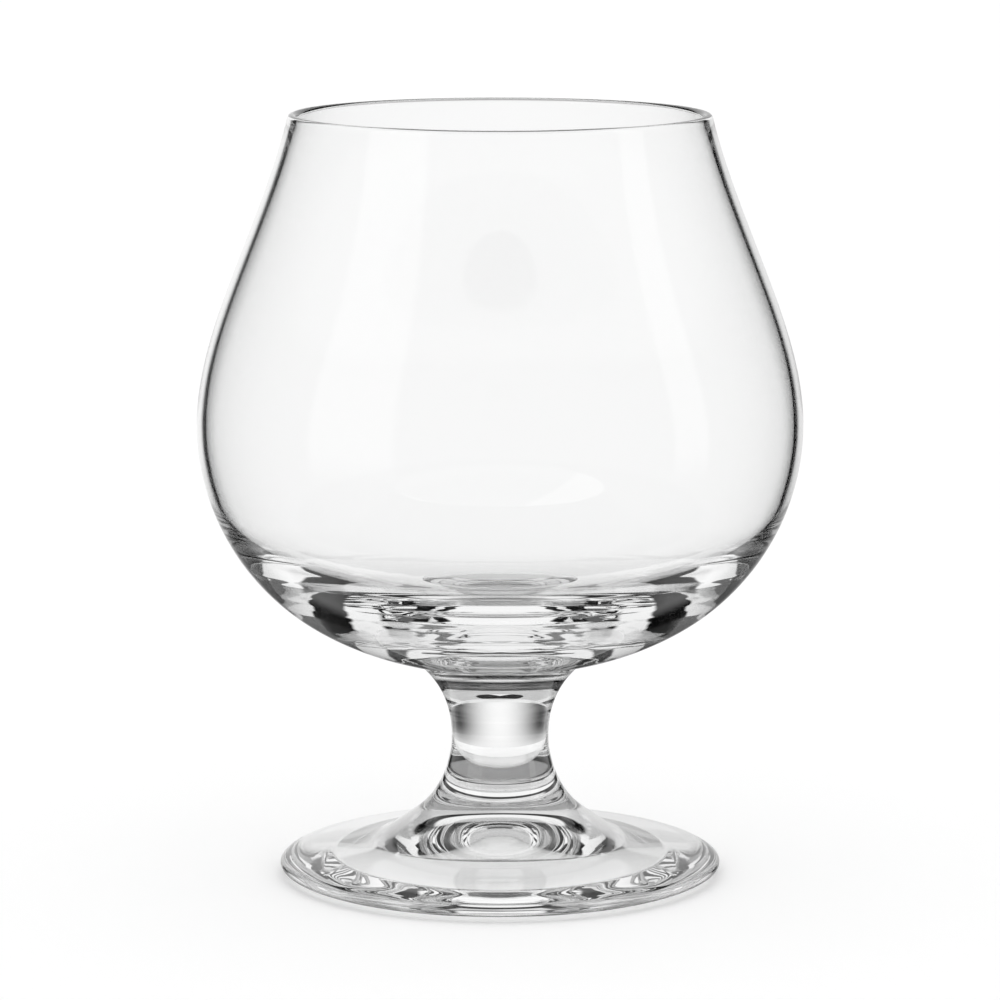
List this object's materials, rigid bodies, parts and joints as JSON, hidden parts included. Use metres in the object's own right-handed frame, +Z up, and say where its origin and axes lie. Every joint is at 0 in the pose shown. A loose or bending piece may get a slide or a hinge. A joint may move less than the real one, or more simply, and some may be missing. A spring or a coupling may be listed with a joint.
{
  "type": "beer snifter",
  "caption": "Clear glass snifter for beer: a wide round bowl drawn in to its mouth, on a short solid waisted stem and a round foot.",
  "frame": {"origin": "centre of the plane that the foot rests on", "axes": "+Z up along the axis that the glass is turned about, from the foot to the mouth; the glass looks the same from every side"},
  "size_m": [0.107, 0.107, 0.1356],
  "materials": {
    "clear_glass": "clear, fire polished"
  },
  "bodies": {
    "root": {"bowl": "clear_glass", "stem": "clear_glass", "foot": "clear_glass"}
  },
  "joints": []
}
